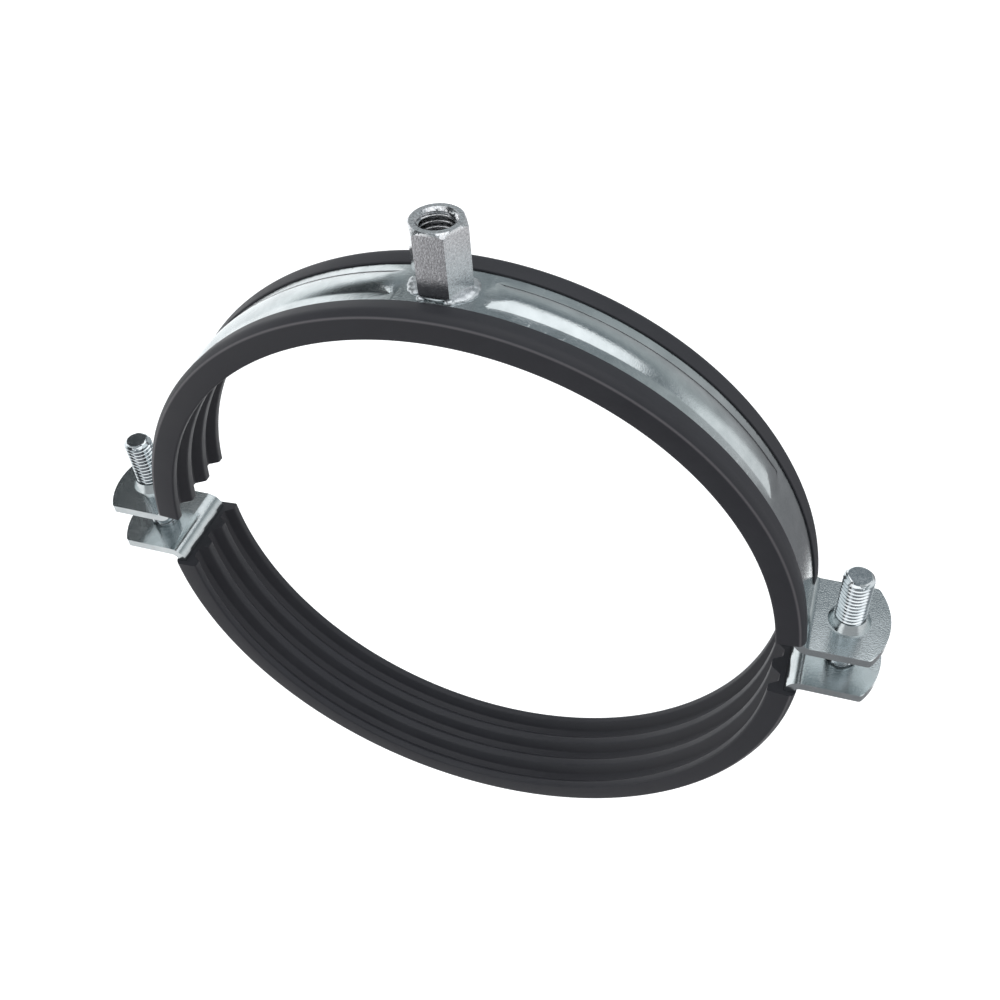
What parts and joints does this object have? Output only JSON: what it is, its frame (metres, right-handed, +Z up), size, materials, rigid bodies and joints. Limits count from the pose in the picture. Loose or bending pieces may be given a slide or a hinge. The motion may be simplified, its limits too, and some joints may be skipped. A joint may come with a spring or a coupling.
{
  "type": "rubber lined pipe clamp",
  "caption": "Split pipe clamp: steel half straps with rubber linings, ears drawn together by screws, and a threaded nut on top for a hanger rod.",
  "frame": {"origin": "centre of the pipe seat in the upper half, midway along its width", "axes": "+Y along the pipe, +Z up the hanger nut's axis, +X across to the right ear"},
  "size_m": [0.2296, 0.0282, 0.2127],
  "materials": {
    "zinc_steel": "bright zinc plated, bluish and slightly mottled",
    "zinc_nut": "bright zinc plated with fine drawing lines",
    "zinc_screw": "bright zinc plated",
    "weld_metal": "lumpy weld under the zinc plating",
    "black_rubber": "semi-matte black EPDM"
  },
  "bodies": {
    "upper_half": {"upper_strap": "zinc_steel", "upper_lining": "black_rubber", "hanger_nut": "zinc_nut", "nut_weld": "weld_metal"},
    "lower_half": {"lower_strap": "zinc_steel", "lower_lining": "black_rubber"},
    "left_clamp_screw": {"left_screw": "zinc_screw"},
    "right_clamp_screw": {"right_screw": "zinc_screw"}
  },
  "joints": [
    {"name": "lower_half_travel", "type": "slide", "parent": "upper_half", "child": "lower_half", "axis": [0, 0, 1], "range_m": [-0.0165, 0.0122]},
    {"name": "left_screw_turn", "type": "hinge", "parent": "lower_half", "child": "left_clamp_screw", "pos_m": [-0.1043, 0, 0], "axis": [0, 0, 1], "range_deg": [-4762, 3523.6]},
    {"name": "right_screw_turn", "type": "hinge", "parent": "lower_half", "child": "right_clamp_screw", "pos_m": [0.1043, 0, 0], "axis": [0, 0, 1], "range_deg": [-4762, 3523.6]}
  ],
  "couplings": [
    {"joint": "left_screw_turn", "follows": "lower_half_travel", "rad_per_m": 5026.5},
    {"joint": "right_screw_turn", "follows": "lower_half_travel", "rad_per_m": 5026.5}
  ]
}
